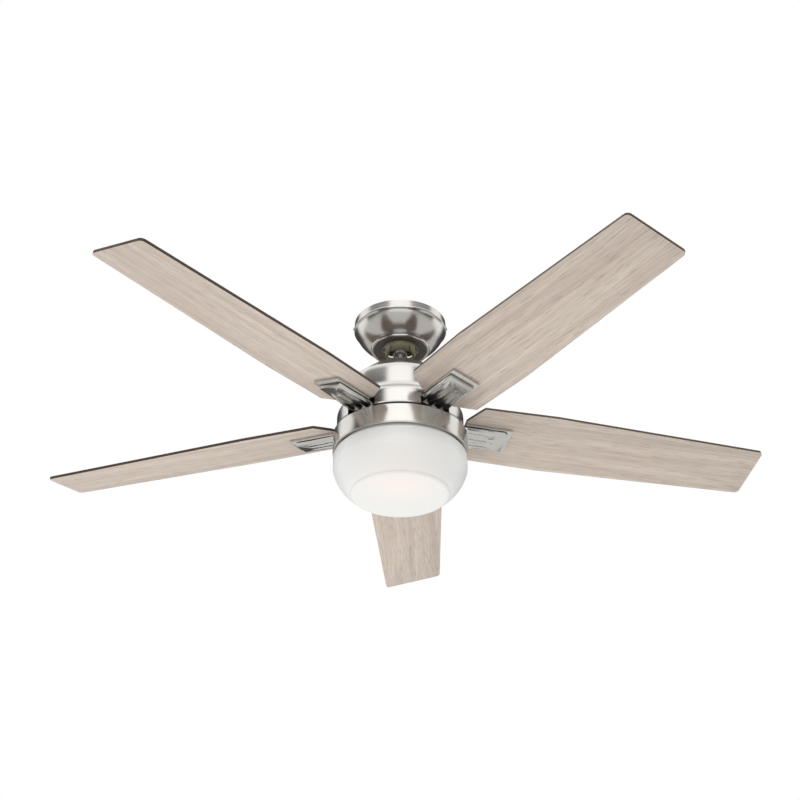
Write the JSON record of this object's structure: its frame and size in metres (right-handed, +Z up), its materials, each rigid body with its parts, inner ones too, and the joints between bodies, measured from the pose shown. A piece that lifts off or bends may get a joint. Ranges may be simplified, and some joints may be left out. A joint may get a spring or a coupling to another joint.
{
  "type": "ceiling fan with light",
  "caption": "Ceiling fan on a short downrod with a spun canopy, pitched oak-look blades on fluted metal irons, and a frosted glass bowl light under a brushed band.",
  "frame": {"origin": "on the fan's axis in the plane of the ceiling, which is the top face of the hanger bracket", "axes": "+Z is up into the ceiling. +Y points away from the viewer of the usual picture and +X to the viewer's right. The bracket's slots lie along X."},
  "size_m": [1.333, 1.2851, 0.3555],
  "materials": {
    "brushed_nickel": "brushed nickel plate, clear lacquered",
    "zinc_steel": "zinc plated steel",
    "cast_zinc": "as cast, tumbled",
    "cast_aluminium": "as cast with turned faces",
    "lamination_steel": "stacked sheets, varnished",
    "bearing_steel": "ground and polished",
    "copper_wire": "enamelled copper wire",
    "ferrite": "ground ferrite",
    "black_plastic": "moulded, fine texture",
    "orange_plastic": "moulded",
    "bronze_grey_paint": "satin paint",
    "white_enamel": "gloss enamel",
    "porcelain": "glazed white ceramic",
    "opal_bulb": "opal diffuser on a white body",
    "oak_laminate": "light greige oak grain below, darker grain above, dark edge band",
    "frosted_glass": "cased white, acid etched"
  },
  "bodies": {
    "ceiling_mount": {"hanger_bracket": "zinc_steel", "remote_receiver": "black_plastic", "wire_connectors": "orange_plastic", "canopy": "brushed_nickel", "canopy_screws": "brushed_nickel", "canopy_trim_ring": "brushed_nickel", "ball_shroud": "bronze_grey_paint"},
    "cross_pin": {"ball_cross_pin": "zinc_steel"},
    "hanging_frame": {"hanger_ball": "cast_zinc", "ball_set_screw": "zinc_steel", "downrod": "brushed_nickel", "motor_coupling": "cast_zinc", "clevis_pin": "zinc_steel", "cotter_pin": "zinc_steel", "coupling_set_screws": "zinc_steel", "coupling_cover": "brushed_nickel", "motor_shaft": "zinc_steel", "stator_core": "lamination_steel", "stator_windings": "copper_wire", "upper_bearing_inner_race": "bearing_steel", "lower_bearing_inner_race": "bearing_steel", "shaft_lock_nut": "zinc_steel", "light_mount_plate": "zinc_steel", "fitter_band": "brushed_nickel", "light_pan": "white_enamel", "light_pan_screws": "zinc_steel", "lamp_socket_1": "porcelain", "lamp_socket_2": "porcelain", "led_bulb_1": "opal_bulb", "led_bulb_2": "opal_bulb", "glass_keepers": "zinc_steel"},
    "rotor": {"upper_bearing_outer_race": "bearing_steel", "lower_bearing_outer_race": "bearing_steel", "bearing_balls": "bearing_steel", "rotor_upper_shell": "cast_aluminium", "rotor_lower_shell": "cast_aluminium", "rotor_magnets": "ferrite", "bell_housing": "brushed_nickel", "bell_screws": "zinc_steel", "blade_screws": "zinc_steel", "iron_screws": "zinc_steel", "blade_1": "oak_laminate", "blade_2": "oak_laminate", "blade_3": "oak_laminate", "blade_4": "oak_laminate", "blade_5": "oak_laminate", "blade_plate_1": "brushed_nickel", "blade_plate_2": "brushed_nickel", "blade_plate_3": "brushed_nickel", "blade_plate_4": "brushed_nickel", "blade_plate_5": "brushed_nickel", "blade_iron_1": "brushed_nickel", "blade_iron_2": "brushed_nickel", "blade_iron_3": "brushed_nickel", "blade_iron_4": "brushed_nickel", "blade_iron_5": "brushed_nickel"},
    "glass": {"glass_shade": "frosted_glass", "glass_retaining_ring": "brushed_nickel"}
  },
  "joints": [
    {"name": "swing_forward", "type": "hinge", "parent": "ceiling_mount", "child": "cross_pin", "pos_m": [0, 0, -0.036], "axis": [1, 0, 0], "range_deg": [-10, 10]},
    {"name": "swing_sideways", "type": "hinge", "parent": "cross_pin", "child": "hanging_frame", "pos_m": [0, 0, -0.036], "axis": [0, 1, 0], "range_deg": [-10, 10]},
    {"name": "blade_spin", "type": "hinge", "parent": "hanging_frame", "child": "rotor", "pos_m": [0, 0, -0.213], "axis": [0, 0, 1], "continuous": true},
    {"name": "glass_twist", "type": "hinge", "parent": "hanging_frame", "child": "glass", "pos_m": [0, 0, -0.27], "axis": [0, 0, 1], "range_deg": [0, 20]}
  ]
}
